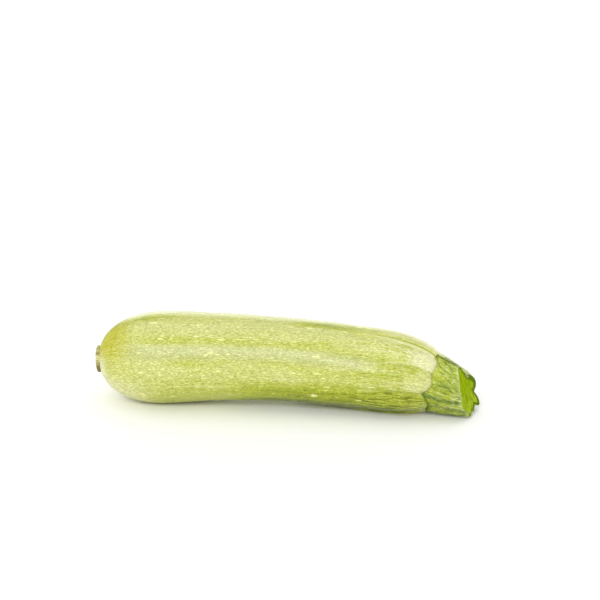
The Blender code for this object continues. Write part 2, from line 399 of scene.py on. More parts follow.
def fruit_grid():
    """Rings of points around_axis(station, radius + relief, angle), and the masks that belong to them."""
    station, skin_length = even_stations(FRUIT_ALONG)
    angle = np.linspace(0, TURN, FRUIT_AROUND, endpoint=False)
    station, skin_length, angle = np.broadcast_arrays(station[:-1, None], skin_length[:-1, None], angle)
    grown = grown_angle(station, angle)
    radius = fruit_radius(station, angle)
    plain = around_axis(station, radius, angle)
    waver = STRIPE_WAVER * ripples(plain * WAVER_DRAW, WAVER_SIZE, seed=4, count=40)
    waver = waver / np.maximum(radius, WAVER_RADIUS)
    groove = grooves(station, grown)
    radius = radius - GROOVE_DEPTH * groove * ease(radius, 0, GROOVE_RADIUS)
    radius = radius + SWELLING * ripples(plain, SWELLING_SIZE, seed=3) * ease(radius, 0, SWELLING_RADIUS)
    points = around_axis(station, radius, angle)
    points[..., 2] = np.maximum(points[..., 2], 0)
    across = STRAIGHT_RADIUS * np.stack([np.cos(grown), np.sin(grown)], axis=-1)
    straight = np.concatenate([skin_length[..., None] / MM, across], axis=-1)
    masks = {
        "green": greenness(station, grown + waver),
        "cream_and_light": cream_and_light_patches(station, grown),
        "ripe": ripeness(station, angle),
        "groove": groove,
        "neck": ease(station, NECK_START, NECK_END),
        "highlight_tint": highlight_tint(station, angle),
        "lane": yellow_lane(station, grown),
        "rows": dash_rows(station, grown + waver),
    }
    return points, straight, masks


fruit_rings, fruit_straight, fruit_masks = fruit_grid()
print("fruit rings:", len(fruit_rings))


# %% From a grid to a mesh
SHARP_ANGLE = np.radians(50)  # edges between faces that meet more steeply stay sharp


def grid_faces(rows, around):
    """The four corners of each face between two rings, and round to the first column again."""
    here = np.arange(around)
    following = np.roll(here, -1)
    low = np.arange(rows - 1)[:, None] * around
    corners = [low + here, low + following, low + following + around, low + here + around]
    return np.stack(corners, axis=-1).reshape(-1, 4)


def pole_fans(rows, around):
    """The triangles round the pole before the first ring, and then round the one after the last ring."""
    here = np.arange(around)
    following = np.roll(here, -1)
    pole = np.full(around, rows * around)
    last = (rows - 1) * around
    near = np.stack([pole, following, here], axis=-1)
    far = np.stack([pole + 1, last + here, last + following], axis=-1)
    return np.concatenate([near, far])


def new_piece(name, points, faces):
    """A mesh of these points and faces, as an object in the scene."""
    mesh = bpy.data.meshes.new(name)
    mesh.from_pydata(points, [], faces)
    piece = bpy.data.objects.new(name, mesh)
    bpy.context.scene.collection.objects.link(piece)
    return piece


def closed_piece(name, rings, straight, masks, first_pole, last_pole):
    """A skin of faces between the rings, closed by a fan round a pole at each end. straight and the masks
    go with it as attributes, and a pole takes their mean over its ring."""
    rows, around = rings.shape[:2]
    points = np.concatenate([rings.reshape(-1, 3), [first_pole, last_pole]])
    faces = grid_faces(rows, around).tolist() + pole_fans(rows, around).tolist()
    piece = new_piece(name, points.tolist(), faces)
    place = piece.data.attributes.new("straight", "FLOAT_VECTOR", "POINT")
    ends = [straight[0].mean(0), straight[-1].mean(0)]
    place.data.foreach_set("vector", np.concatenate([straight.reshape(-1, 3), ends]).ravel())
    for word, values in masks.items():
        mask = piece.data.attributes.new(word, "FLOAT", "POINT")
        ends = [values[0].mean(), values[-1].mean()]
        mask.data.foreach_set("value", np.append(values.ravel(), ends))
    piece.data.shade_smooth()
    piece.data.set_sharp_from_angle(angle=SHARP_ANGLE)
    return piece


print("three rings of four points make", len(grid_faces(3, 4)), "faces and", len(pole_fans(3, 4)), "fans")

# %% Fruit
fruit_poles = fruit_rings[0].mean(0), axis_point(np.array(SHOULDER_POLE))
fruit = closed_piece("fruit_skin", fruit_rings, fruit_straight, fruit_masks, *fruit_poles)
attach(fruit, "root")
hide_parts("fruit")
print("fruit:", len(fruit.data.polygons), "faces")

# %% [markdown]
# ## The skin's finish
#
# The skin is living tissue under a thin coat of wax. That gives a satin gloss over a soft body, with an IOR
# near 1.4 and a roughness of 0.2 to 0.35. Its colour is a pale yellow green, and everything in it is drawn
# out along the fruit: grains under a millimetre wide, streaks of one or two centimetres that crowd together
# at the stalk, fine flecks, and rows of cream dashes up to 5 mm long. An image of the skin would be
# simplest, but noise on the straightened coordinates has no seam and no end to its detail.

# %% Material helpers
MATH, RANGE, ATTRIBUTE = "ShaderNodeMath", "ShaderNodeMapRange", "ShaderNodeAttribute"
FACTOR, FIRST, SECOND, MIXED = 0, 6, 7, 2  # sockets of the Mix node in its colour form


def colour(code):
    """Linear colour of an sRGB hex code: c / 12.92 up to 0.04045, else ((c + 0.055) / 1.055) to the 2.4."""
    srgb = np.array([int(code[i : i + 2], 16) for i in (1, 3, 5)]) / 255
    linear = np.where(srgb <= 0.04045, srgb / 12.92, ((srgb + 0.055) / 1.055) ** 2.4)
    return (*linear.tolist(), 1.0)


def add(tree, kind, inputs, **settings):
    """Adds one node with its settings. inputs maps a socket to a value, or to the output that feeds it."""
    made = tree.nodes.new(kind)
    for name, value in settings.items():
        setattr(made, name, value)
    for socket, value in inputs.items():
        if isinstance(value, bpy.types.NodeSocket):
            tree.links.new(value, made.inputs[socket])
        else:
            made.inputs[socket].default_value = value
    return made.outputs


def new_material(name, **values):
    """A Principled material and its node tree, with plain values set on the shader's own sockets."""
    made = bpy.data.materials.new(name)
    made.use_nodes = True
    shader = made.node_tree.nodes["Principled BSDF"]
    for socket, value in values.items():
        shader.inputs[socket.replace("_", " ")].default_value = value
    return made, made.node_tree, shader


def dress(tree, shader, tint, height, distance):
    """Gives the shader its tint, and the small relief of a pattern that stands this many metres high."""
    tree.links.new(tint, shader.inputs["Base Color"])
    bumps = add(tree, "ShaderNodeBump", {"Height": height, "Strength": 1.0, "Distance": distance})[0]
    tree.links.new(bumps, shader.inputs["Normal"])


print("a middle grey in linear light:", colour("#808080"))


# %% Patterns and paint
SMALLEST_CORE = 0.04  # of a fleck's cell


def stretched(tree, place, along, around, **settings):
    """Noise on the straightened coordinates, along and around being the size of its grains in mm."""
    scale = (1 / along, 1 / around, 1 / around)
    scaled = add(tree, "ShaderNodeMapping", {"Vector": place, "Scale": scale})[0]
    return add(tree, "ShaderNodeTexNoise", {"Vector": scaled, "Scale": 1.0, **settings})[0]


def flecks(tree, place, along, around, rare, largest):
    """1 in the cores of stretched cells and 0 round them, along and around being the size of a cell in mm.
    Each cell draws a chance from 0 to 1, and its core grows from the smallest, where the chance is rare or
    less, to the largest, as a share of the cell."""
    scale = (1 / along, 1 / around, 1 / around)
    scaled = add(tree, "ShaderNodeMapping", {"Vector": place, "Scale": scale})[0]
    cell = add(tree, "ShaderNodeTexVoronoi", {"Vector": scaled, "Scale": 1.0})
    chance = add(tree, "ShaderNodeSeparateColor", {"Color": cell["Color"]})[0]
    ends = {"Value": chance, "From Min": rare, "To Min": SMALLEST_CORE, "To Max": largest}
    size = add(tree, RANGE, ends)[0]
    core = add(tree, MATH, {0: size, 1: 0.5}, operation="MULTIPLY")[0]
    ends = {"Value": cell["Distance"], "From Min": size, "From Max": core}
    return add(tree, RANGE, ends, interpolation_type="SMOOTHSTEP")[0]


def painted(tree, tint, layers):
    """The tint with each layer's colour laid over it, as far as the layer's mask says."""
    for mask, code in layers:
        inputs = {FACTOR: mask, FIRST: tint, SECOND: colour(code)}
        tint = add(tree, "ShaderNodeMix", inputs, data_type="RGBA")[MIXED]
    return tint


def speckled(tree, tint, pattern, low, high):
    """The tint times a factor, which goes from low to high while the pattern goes from 0.3 to 0.7."""
    ends = {"Value": pattern, "From Min": 0.3, "From Max": 0.7, "To Min": low, "To Max": high}
    inputs = {FACTOR: 1.0, FIRST: tint, SECOND: add(tree, RANGE, ends)[0]}
    return add(tree, "ShaderNodeMix", inputs, data_type="RGBA", blend_type="MULTIPLY")[MIXED]


print("the core of a fleck is at least", SMALLEST_CORE, "of its cell")

# %% Waxy zucchini skin
# The skin's colours from the palest fleck to the darkest stripe, each at its tone from 0 to 1.
SKIN_TONES = (
    (0.0, "#e6e6b8"),
    (0.25, "#d6d895"),
    (0.42, "#cbce7b"),
    (0.58, "#bcc256"),
    (0.75, "#acb536"),
    (0.88, "#97a31c"),
    (1.0, "#6b780c"),
)
MIDDLE_TONE = 0.42  # where there is no stripe or patch and every noise is at its middle of 0.5
NOISE_WEIGHTS = {"grain": 0.50, "row": 0.16, "cloud": 0.20}


def skin_tone(tree, noise, mask):
    """The sum of everything that makes the skin darker or paler, each times its weight."""
    # Streaks are stronger on the neck, where they crowd together, and in the green stripes.
    crowded = add(tree, MATH, {0: mask["neck"], 1: 0.7, 2: 0.22}, operation="MULTIPLY_ADD")[0]
    crowded = add(tree, MATH, {0: mask["green"], 1: 0.25, 2: crowded}, operation="MULTIPLY_ADD")[0]
    streaks = add(tree, MATH, {0: noise["streak"], 1: 0.5}, operation="SUBTRACT")[0]
    streaks = add(tree, MATH, {0: streaks, 1: crowded}, operation="MULTIPLY")[0]
    threads = add(tree, MATH, {0: noise["thread"], 1: 0.5}, operation="SUBTRACT")[0]
    threads = add(tree, MATH, {0: threads, 1: mask["neck"]}, operation="MULTIPLY")[0]
    parts = [(mask["green"], 0.62)]
    parts += [(noise[word], weight) for word, weight in NOISE_WEIGHTS.items()]
    # Cream patches, and the painted light at the blossom end, make the tone paler.
    parts += [(streaks, 1.0), (threads, 1.0), (mask["cream_and_light"], -0.35)]
    tone = MIDDLE_TONE - 0.5 * sum(NOISE_WEIGHTS.values())
    for part, weight in parts:
        tone = add(tree, MATH, {0: part, 1: weight, 2: tone}, operation="MULTIPLY_ADD")[0]
    return tone


def skin_tint(tree, tone):
    """The colour that SKIN_TONES has at this tone."""
    tint = add(tree, "ShaderNodeValToRGB", {"Fac": tone})["Color"]
    stops = tint.node.color_ramp.elements
    for stop, (where, code) in zip(stops, (SKIN_TONES[0], SKIN_TONES[-1])):
        stop.position, stop.color = where, colour(code)
    for where, code in SKIN_TONES[1:-1]:
        stops.new(where).color = colour(code)
    return tint


def skin_flecks(tree, place, tone, mask):
    """Fine flecks, fewer where the skin is dark and between the rows, and the larger dashes in the rows."""
    fleck = flecks(tree, place, along=5.0, around=0.78, rare=0.35, largest=0.46)
    crowd = {"Value": tone, "From Min": 0.3, "From Max": 0.8, "To Min": 0.9, "To Max": 0.35}
    in_rows = add(tree, MATH, {0: mask["rows"], 1: 0.45, 2: 0.5}, operation="MULTIPLY_ADD")[0]
    for share in (in_rows, add(tree, RANGE, crowd)[0]):
        fleck = add(tree, MATH, {0: fleck, 1: share}, operation="MULTIPLY")[0]
    dash = flecks(tree, place, along=5.2, around=1.6, rare=0.0, largest=0.46)
    return fleck, add(tree, MATH, {0: dash, 1: mask["rows"]}, operation="MULTIPLY")[0]


print("tones of the skin:", len(SKIN_TONES))


# %% The skin, put together
def skin_material():
    """Living tissue under wax: the tone's colour, then patches and lines, then flecks, then the grain."""
    made, tree, shader = new_material(
        "Waxy zucchini skin", Roughness=0.34, IOR=1.41, Subsurface_Weight=0.12, Subsurface_Scale=0.002
    )
    shader.inputs["Subsurface Radius"].default_value = (1.0, 1.1, 0.4)
    place = add(tree, ATTRIBUTE, {}, attribute_name="straight")["Vector"]
    mask = {word: add(tree, ATTRIBUTE, {}, attribute_name=word)["Fac"] for word in fruit_masks}
    # Each noise's grains are so many mm long and so many wide.
    noise = {
        "grain": stretched(tree, place, 1.3, 0.40, Detail=2.0, Roughness=0.65),
        "streak": stretched(tree, place, 13, 0.8, Detail=2.0, Roughness=0.6),
        "thread": stretched(tree, place, 5, 0.45, Detail=1.0),
        "row": stretched(tree, place, 45, 2.4, Detail=1.0),
        "cloud": stretched(tree, place, 22, 7, Detail=2.0),
    }
    tone = skin_tone(tree, noise, mask)
    fleck, dash = skin_flecks(tree, place, tone, mask)

    # Green streaks break into the cream patches and the ripe end, and the lines are never quite solid.
    veined = {"Value": noise["streak"], "From Min": 0.3, "From Max": 0.55, "To Min": 0.5}
    mottled = {"Value": noise["streak"], "From Min": 0.35, "From Max": 0.6, "To Min": 0.6}
    shares = {"groove": 0.85, "highlight_tint": 0.5, "lane": 0.8}
    shares["cream_and_light"] = add(tree, RANGE, veined)[0]
    shares["ripe"] = add(tree, RANGE, mottled)[0]
    part = {
        word: add(tree, MATH, {0: mask[word], 1: share}, operation="MULTIPLY")[0]
        for word, share in shares.items()
    }
    layers = (
        # A duller, greyer tint painted under the softbox's highlight, part of a painted highlight.
        (part["highlight_tint"], "#acb474"),
        # Cream patches, and painted light from the white floor at the blossom end.
        (part["ripe"], "#bab620"),
        (part["cream_and_light"], "#dedea8"),
        (part["lane"], "#d2d45e"),
        (part["groove"], "#7f9022"),
        (fleck, "#e9eaa6"),
        (dash, "#edee9e"),
    )
    tint = painted(tree, skin_tint(tree, tone), layers)
    tint = speckled(tree, tint, noise["grain"], 1.20, 0.61)
    dress(tree, shader, tint, noise["grain"], 0.03 * MM)

    # The wax is smooth, and thin on the ripe end.
    rough = add(tree, RANGE, {"Value": noise["grain"], "To Min": 0.20, "To Max": 0.34})[0]
    rough = add(tree, MATH, {0: mask["ripe"], 1: 0.4, 2: rough}, operation="MULTIPLY_ADD")[0]
    tree.links.new(rough, shader.inputs["Roughness"])
    return made


fruit.data.materials.append(skin_material())
print("skin:", len(fruit.data.materials[0].node_tree.nodes), "nodes")

# %% [markdown]
# ## The stalk
#
# The stalk holds the fruit to the vine. Its skin starts as a scalloped collar on the shoulder, pointed
# where each ridge runs down and round between two, and narrows to where the knife went through at a slant.
# Its rings are carried from the collar's outline to the cut's outline, and each ridge turns a little on the
# way. Ribs, wrinkles and warts are added to the radius, so the outline of the cut has them too.

# %% The stalk's dimensions
GAP = 0.3 * MM  # left between two solids that grew on each other
COLLAR_STATION = 151.4 * MM
COLLAR_EDGE, RIDGE_EDGE = 0.7 * MM, 0.4 * MM  # how far the collar stands off the fruit, and more at a ridge
RIDGE_SHARPNESS, COLLAR_SHARPNESS = 1.7, 0.8
CUT_STATION = 165.6 * MM
CUT_YAW, CUT_PITCH = np.radians(18), np.radians(15)
CUT_CHAMFER, CHAMFER_DEPTH = 0.35 * MM, 0.7  # the depth is a share of the width
TORN_CHAMFER = 2.0 * MM
TORN_ANGLE, TORN_WIDTH = np.radians(58), np.radians(30)
STALK_RADIUS = 11.0  # of the straightened stalk, in mm

# The rings run from under the stalk's middle to the collar, over its edge, up the wall, and over the cut.
UNDER_PARTS, EDGE_LIFTS = (0.3, 0.6, 0.85, 1.0), (0.4, 0.75)
STALK_AROUND, WALL_RINGS, FACE_RINGS = 512, 96, 44
WALL_START = len(UNDER_PARTS) + len(EDGE_LIFTS)
WALL_END = WALL_START + WALL_RINGS
LIP = WALL_END + 1  # the ring where the face of the cut starts
STALK_COUNT = np.arange(STALK_AROUND) * len(RIDGES) / STALK_AROUND  # each column's ridge count

CUT_CENTRE = axis_point(np.array(CUT_STATION))
level = np.cos(CUT_PITCH)  # how much of the cut's direction is level
CUT_NORMAL = np.array([level * np.cos(CUT_YAW), -level * np.sin(CUT_YAW), np.sin(CUT_PITCH)])
print("the cut looks along", CUT_NORMAL.round(2))


# %% Points on the stalk
SKIN_STEP, SKIN_TURN = 0.05 * MM, 0.01  # the skin's slope is taken over this much on each side
SLIDES = 6  # enough to bring a point of the rim onto the plane of the cut


def fruit_point(station, angle):
    """The point of the fruit's plain form at a station and an angle."""
    return around_axis(station, fruit_radius(station, angle), angle)


def over_fruit(station, angle, height):
    """The point that stands this high over the fruit's skin, square to it."""
    lengthwise = fruit_point(station + SKIN_STEP, angle) - fruit_point(station - SKIN_STEP, angle)
    crosswise = fruit_point(station, angle + SKIN_TURN) - fruit_point(station, angle - SKIN_TURN)
    return fruit_point(station, angle) + height[..., None] * unit(np.cross(crosswise, lengthwise))


def collar_stations(count):
    """Where the stalk's skin starts: pointed down the shoulder at each ridge, and round between two."""
    reach = RIDGES[np.round(count).astype(int) % len(RIDGES), 2] * MM
    return COLLAR_STATION - reach * (1 - np.abs(np.sin(np.pi * count)) ** COLLAR_SHARPNESS)


def rim_radius(count):
    """How far the rim of the cut is from the axis: crests at the ridges, hollows between them."""
    crest = RIDGES[np.round(count).astype(int) % len(RIDGES), 3]
    hollow = RIDGES[np.floor(count).astype(int) % len(RIDGES), 4]
    return MM * (hollow + (crest - hollow) * np.abs(np.cos(np.pi * count)) ** RIDGE_SHARPNESS)


def cut_station(radius, angle):
    """The station at which this radius and angle meet the plane of the cut, found by sliding along."""
    station = np.full_like(radius, CUT_STATION)
    for _ in range(SLIDES):
        along, _, _ = axis_frame(station)
        short = (CUT_CENTRE - around_axis(station, radius, angle)) @ CUT_NORMAL
        station = station + short / (along @ CUT_NORMAL)
    return station


print("the collar starts at station", collar_stations(STALK_COUNT).min() / MM, "mm")

# %% The stalk's relief
# All in mm. Ribs and wrinkles are drawn out, as if the wall were so much shorter, and warts are not.
DRAWN_LENGTH, WALL_LENGTH = 3.5, 14
RIB_HEIGHT, RIB_SIZE = 0.16, 2.6
WRINKLE_HEIGHT, WRINKLE_SIZE = 0.10, 1.1
WART_HEIGHT, WART_SIZE = 0.22, 1.9
WART_START, WART_FULL = 0.55, 1.1  # a wart is the top of a ripple, from here up to here
RELIEF_FULL = 0.12  # it has come in at this part of the way up


def stalk_relief(part, count):
    """Ribs between the ridges, wrinkles drawn out along the stalk, and warts, in metres."""
    turn = count * TURN / len(RIDGES)
    around = np.stack([np.cos(turn), np.sin(turn)], axis=-1) * STALK_RADIUS
    drawn = np.concatenate([part[..., None] * DRAWN_LENGTH, around], axis=-1)
    plain = np.concatenate([part[..., None] * WALL_LENGTH, around], axis=-1)
    ribs = RIB_HEIGHT * ripples(drawn, RIB_SIZE, seed=5, count=40)
    wrinkles = WRINKLE_HEIGHT * ripples(drawn, WRINKLE_SIZE, seed=6, count=60)
    warts = WART_HEIGHT * ease(ripples(plain, WART_SIZE, seed=7, count=60), WART_START, WART_FULL)
    return MM * (ribs + wrinkles + warts) * ease(part, 0, RELIEF_FULL)


rim_relief = stalk_relief(np.ones(STALK_AROUND), STALK_COUNT)
print("the rim's relief goes from", rim_relief.min() / MM, "to", rim_relief.max() / MM, "mm")

# %% The stalk's rings
LIP_BULGE = 0.15  # how far the middle of the chamfer stands out, as a share of its width


def stalk_grid(count):
    """From under the stalk's middle out to its collar, up its wall to the cut, and in over the cut's face.
    The wall's radius, station and angle go evenly from the collar's to the rim's, with the relief added."""
    low_angle, high_angle = ridge_angle(count, 0), ridge_angle(count, 1)
    collar = collar_stations(count)
    edge = COLLAR_EDGE + RIDGE_EDGE * np.abs(np.cos(np.pi * count)) ** RIDGE_SHARPNESS
    base = fruit_radius(collar, low_angle) + edge
    rim = rim_radius(count) + stalk_relief(np.ones_like(count), count)
    torn = np.exp(-(((high_angle % TURN) - TORN_ANGLE) / TORN_WIDTH) ** 2)
    chamfer = CUT_CHAMFER + TORN_CHAMFER * torn
    top = cut_station(rim, high_angle) - CHAMFER_DEPTH * chamfer

    rings = []
    for part in UNDER_PARTS:
        station = SHOULDER_POLE - (SHOULDER_POLE - collar) * part**SHOULDER_FULLNESS
        rings.append(over_fruit(station, low_angle, np.full_like(station, GAP * (1 - part))))
    for lift in EDGE_LIFTS:
        rings.append(over_fruit(collar, low_angle, edge * lift))
    part, around = np.broadcast_arrays(np.linspace(0, 1, WALL_RINGS)[:, None], count)
    relief = stalk_relief(part, around)
    radius = base + (rim - relief[-1] - base) * part + relief
    angle = low_angle + (high_angle - low_angle) * part
    wall = around_axis(collar + (top - collar) * part, radius, angle)
    inner = rim - chamfer
    lip = around_axis(cut_station(inner, high_angle), inner, high_angle)
    inward = np.linspace(0, 1, FACE_RINGS)[:-1, None, None]
    face = lip + (CUT_CENTRE - lip) * inward
    half_lip = (wall[-1] + lip) / 2 + LIP_BULGE * chamfer[:, None] * CUT_NORMAL
    return np.concatenate([rings, wall, [half_lip], face]), torn


stalk_rings, torn = stalk_grid(STALK_COUNT)
print("stalk rings:", len(stalk_rings))

# %% The sunken flesh
DISH = 0.35 * MM  # how far the cut's flesh has sunk in the middle
MARK_DEPTH, MARK_SIZE = 0.05 * MM, 1.3 * MM
MARK_DRAW = np.array([1, 1, 0.15])  # the knife's marks are drawn out upwards
MARKS_FULL = 0.1  # of the way in from the lip, where they have their full depth


def sunk(face):
    """The face of the cut moved in by DISH * sin(pi * way in / 2), with soft knife marks."""
    way = np.linspace(0, 1, len(face))[:, None]
    marks = MARK_DEPTH * ripples(face * MARK_DRAW, MARK_SIZE, seed=8)
    depth = DISH * np.sin(way * np.pi / 2) + marks * ease(way, 0, MARKS_FULL)
    return face - depth[..., None] * CUT_NORMAL


stalk_rings[LIP:] = sunk(stalk_rings[LIP:])
print("the flesh is sunk by", DISH / MM, "mm")

# %% The stalk's coordinates
UNDER_LENGTH = 3  # of the part under the collar, in mm
FACE_LENGTHS = (0.3, 6)  # past the wall's end, in mm: the chamfer, and the middle of the cut


def stalk_straight(rings, count):
    """Millimetres along the stalk and round it, for patterns that follow the ridges."""
    length = (CUT_STATION - COLLAR_STATION) / MM
    under = np.linspace(-UNDER_LENGTH, 0, WALL_START, endpoint=False)
    over = length + np.linspace(*FACE_LENGTHS, len(rings) - WALL_END)
    along = np.concatenate([under, np.linspace(0, length, WALL_RINGS), over])
    along, turn = np.broadcast_arrays(along[:, None], count * TURN / len(RIDGES))
    return np.stack([along, STALK_RADIUS * np.cos(turn), STALK_RADIUS * np.sin(turn)], axis=-1)


straight = stalk_straight(stalk_rings, STALK_COUNT)
print("straightened, the stalk is", np.ptp(straight[..., 0]), "mm long")

# %% Where the stalk is dark, torn or fleshy
RIDGE_GREEN = np.array([1.0, 0.1, 1.0, 0.7, 0.5, 0.8, 1.0, 1.0])  # how dark each ridge is
# Painted shade in the hollow after each ridge: most underneath, and on top below nought, which is painted
# light.
HOLLOW_SHADE = np.array([-0.4, 0.3, 1.0, 0.8, 0.8, 0.6, 0.5, 0.3])  # and the hollow after it
# The painted shade at the collar's foot reaches over the ridges too, on this part of the wall.
COLLAR_SHADE_PART = 0.1  # of the wall, where the dark hollows spread over the ridges too
RIDGE_LINE = 14  # the power of a cosine that makes the ridges' dark lines narrow
FRONT_RIDGE, VEIN_TWIST = 2, 0.24  # how much further than this ridge its dark line turns, in ridges
ROLLED_RINGS = 14  # the torn strip's rings below the rim
ROLLED_START, ROLLED_END = 1.0, 2.4  # and where it ends on the face, in mm from the lip
FLESHY_HOLLOW = len(RIDGES) - 1  # the fruit's flesh shows after this ridge
FLESHY_SIDE = (0.1, 0.5)  # it starts and is full here, 0 being a ridge and 1 the middle of the hollow
FLESHY_TOP = (0.25, 0.42)  # it starts to fade and is gone here, as parts of the way up


def stalk_masks(rings, torn, count):
    """How far up the wall, how near a dark ridge, how far in from the rim in mm, where the knife tore,
    painted shade in the lower hollows and at the collar's foot, where the fruit's flesh shows at the
    collar, and how far round to the back."""
    row, count = np.broadcast_arrays(np.arange(len(rings))[:, None], count)
    up = np.clip((row - WALL_START) / (WALL_RINGS - 1), 0, 1)
    twisted = count + VEIN_TWIST * up * np.exp(-((count - FRONT_RIDGE) ** 2))
    dark = RIDGE_GREEN[np.round(twisted).astype(int) % len(RIDGES)]
    inset = np.linalg.norm(rings - rings[LIP], axis=-1) / MM
    inset[:LIP] = 0
    between = np.abs(np.sin(np.pi * count))
    fleshy = (np.floor(count) == FLESHY_HOLLOW) * ease(between, *FLESHY_SIDE) * (1 - ease(up, *FLESHY_TOP))
    rolled = torn * ease(row, WALL_END - ROLLED_RINGS, WALL_END)
    return {
        "up": up,
        "ridge": dark * np.abs(np.cos(np.pi * twisted)) ** RIDGE_LINE,
        "inset": inset,
        "rolled": rolled * (1 - ease(inset, ROLLED_START, ROLLED_END)),
        # Painted shade: darker hollows underneath and at the collar's foot, and a paler top hollow.
        "under": HOLLOW_SHADE[np.floor(count).astype(int)] * (between + 1 - ease(up, 0, COLLAR_SHADE_PART)),
        "fleshy": fleshy,
        "behind": 0.5 + 0.5 * np.cos(ridge_angle(count, 1)),
    }


masks = stalk_masks(stalk_rings, torn, STALK_COUNT)
print("masks of the stalk:", *masks)

# %% Stalk
along, _, _ = axis_frame(np.array(SHOULDER_POLE))
stalk_poles = axis_point(np.array(SHOULDER_POLE)) + GAP * along, stalk_rings[-1].mean(0)
stalk = closed_piece("stalk_skin", stalk_rings, straight, masks, *stalk_poles)
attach(stalk, "root")
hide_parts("stalk")
print("stalk:", len(stalk.data.polygons), "faces")

# %% [markdown]
# ## The stalk's skin and the cut
#
# The stalk's skin is matt and tough: dark green on its ridges, with pale, corky streaks between them, and
# yellower towards the fruit. Painted shade darkens its lower hollows and its foot at the collar, and
# painted light pales the top hollow. Where the knife went through, the flesh is a strong yellow green with
# a darker rind, and paler where the veins run. Its open cells scatter the light, so it has no gloss. At the
# back the knife tore a pale strip. The faces of the cut take the second material.


# %% Stalk skin
def stalk_material():
    """Tough skin without wax: green ridges and blotches, painted shade below, dark lines, pale corky
    streaks, a pale edge.
    """
    made, tree, shader = new_material("Ribbed stalk skin", Roughness=0.62, IOR=1.38)
    place = add(tree, ATTRIBUTE, {}, attribute_name="straight")["Vector"]
    words = ("up", "ridge", "rolled", "under", "fleshy")
    mask = {word: add(tree, ATTRIBUTE, {}, attribute_name=word)["Fac"] for word in words}
    streak = stretched(tree, place, 3.0, 0.8, Detail=3.0, Roughness=0.6, Distortion=0.7)
    blotch = stretched(tree, place, 4.0, 2.6, Detail=2.0, Distortion=0.5)
    fine = stretched(tree, place, 0.9, 0.4, Detail=2.0)

    dark = add(tree, MATH, {0: mask["ridge"], 1: 0.32, 2: blotch}, operation="MULTIPLY_ADD")[0]
    # Painted shade darkens the lower hollows and the collar's foot; the top hollow gets painted light.
    dark = add(tree, MATH, {0: mask["under"], 1: 0.28, 2: dark}, operation="MULTIPLY_ADD")[0]
    dark = add(tree, RANGE, {"Value": dark, "From Min": 0.5, "From Max": 0.9, "To Max": 0.9})[0]
    line = add(tree, RANGE, {"Value": streak, "From Min": 0.47, "From Max": 0.34, "To Max": 0.8})[0]
    pale = add(tree, MATH, {0: mask["up"], 1: 0.06, 2: streak}, operation="MULTIPLY_ADD")[0]
    # The painted shade also holds back the pale streaks in the lower hollows.
    pale = add(tree, MATH, {0: mask["under"], 1: -0.05, 2: pale}, operation="MULTIPLY_ADD")[0]
    ends = {"Value": pale, "From Min": 0.54, "From Max": 0.66, "To Max": 0.85}
    pale = add(tree, RANGE, ends, interpolation_type="SMOOTHSTEP")[0]
    vein = add(tree, MATH, {0: streak, 1: 0.8, 2: mask["ridge"]}, operation="MULTIPLY_ADD")[0]
    vein = add(tree, RANGE, {"Value": vein, "From Min": 0.8, "From Max": 1.4, "To Max": 0.7})[0]
    edge = add(tree, RANGE, {"Value": mask["up"], "From Min": 0.9, "From Max": 1.0, "To Max": 0.5})[0]
    rough = add(tree, MATH, {0: mask["rolled"], 1: fine}, operation="MULTIPLY")[0]
    rough = add(tree, RANGE, {"Value": rough, "From Min": 0.25, "From Max": 0.7})[0]
    layers = (
        (mask["up"], "#9cab3c"),
        (dark, "#536c1c"),
        (line, "#5f7620"),
        (pale, "#c6cf82"),
        (vein, "#566c1a"),
        (edge, "#c0ca7c"),
        (mask["fleshy"], "#d3d69a"),
        (rough, "#c0cb92"),
    )
    tint = painted(tree, colour("#aeb82c"), layers)
    tint = speckled(tree, tint, fine, 0.8, 1.2)
    dress(tree, shader, tint, add(tree, MATH, {0: streak, 1: fine}, operation="ADD")[0], 0.25 * MM)
    return made


stalk.data.materials.append(stalk_material())
print("stalk skin:", len(stalk.data.materials[0].node_tree.nodes), "nodes")

# %% Cut flesh
LOW_PALE_TOP, LOW_PALE_BOTTOM = 14 * MM, 4 * MM  # between these heights the flesh gets paler downwards


